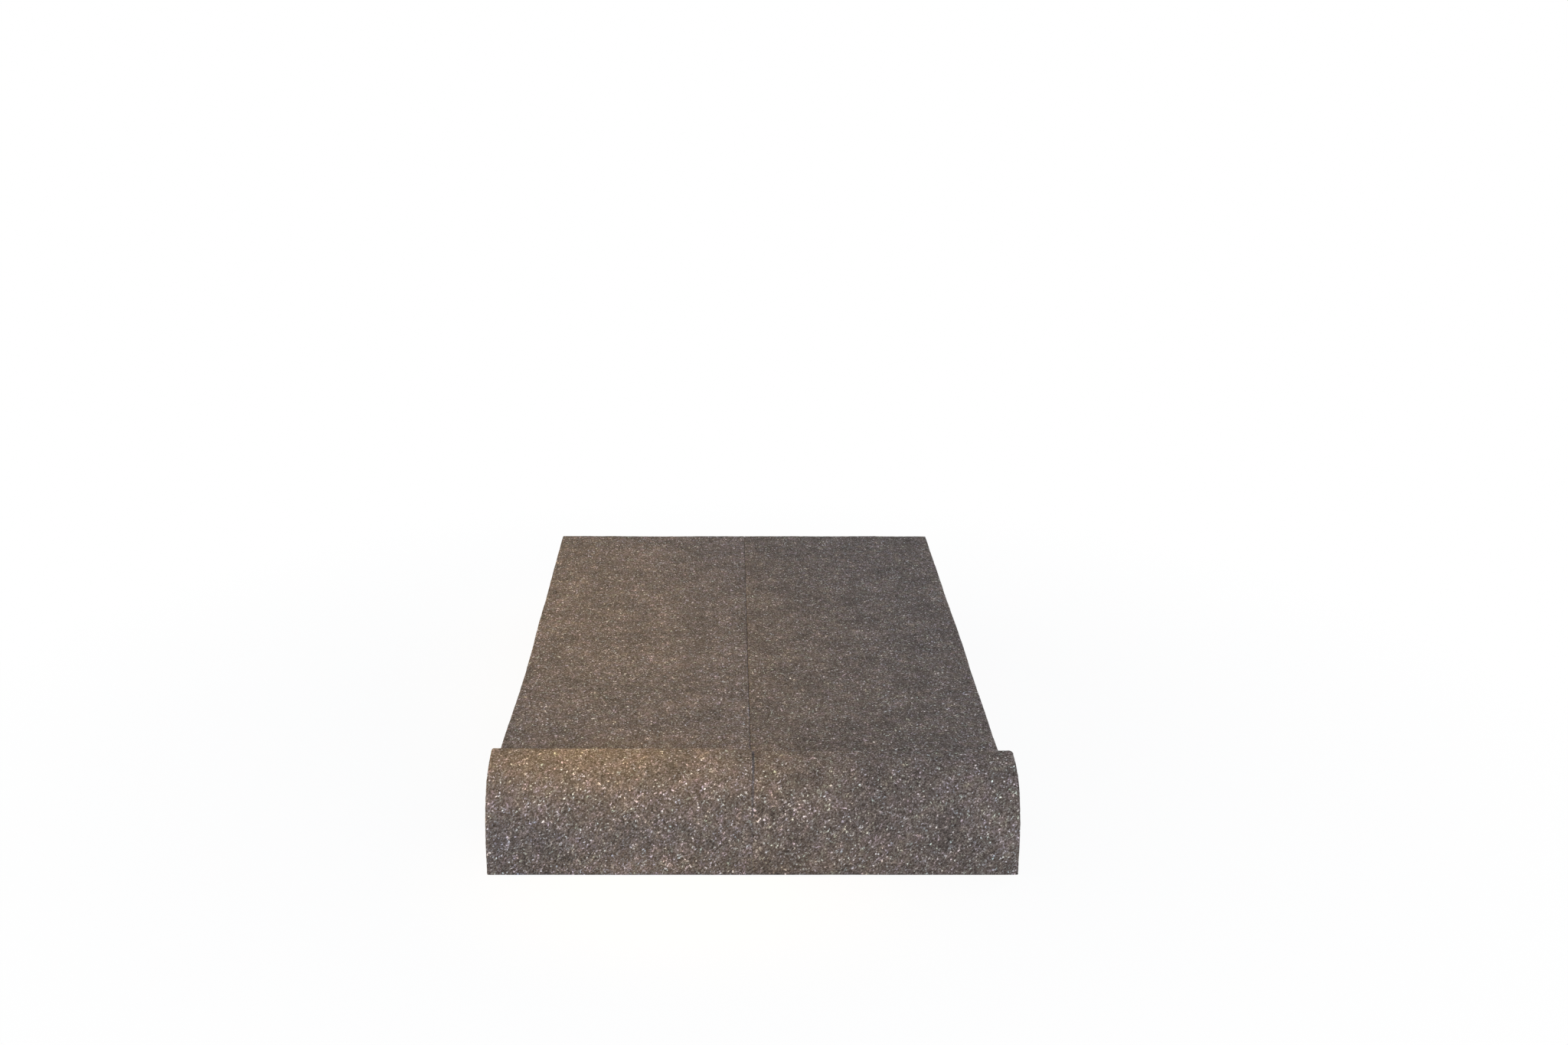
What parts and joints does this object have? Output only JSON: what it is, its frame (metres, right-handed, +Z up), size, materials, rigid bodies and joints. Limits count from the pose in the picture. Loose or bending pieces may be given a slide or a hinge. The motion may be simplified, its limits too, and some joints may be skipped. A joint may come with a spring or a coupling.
{
  "type": "speaker isolation pad",
  "caption": "Foam isolation pad for a desktop loudspeaker: side-by-side blocks with a rounded front lip and a deck that slopes up to the rear.",
  "frame": {"origin": "centre of the pad's bottom, on the seam between the two blocks and halfway from front to rear", "axes": "+X to the right seen from the front, +Y from the lip in front to the rear end, +Z up"},
  "size_m": [0.2036, 0.3048, 0.045],
  "materials": {
    "foam": "charcoal open-cell polyurethane foam, matt and grainy, with fine bright glints"
  },
  "bodies": {
    "root": {"left_block": "foam", "right_block": "foam"}
  },
  "joints": []
}
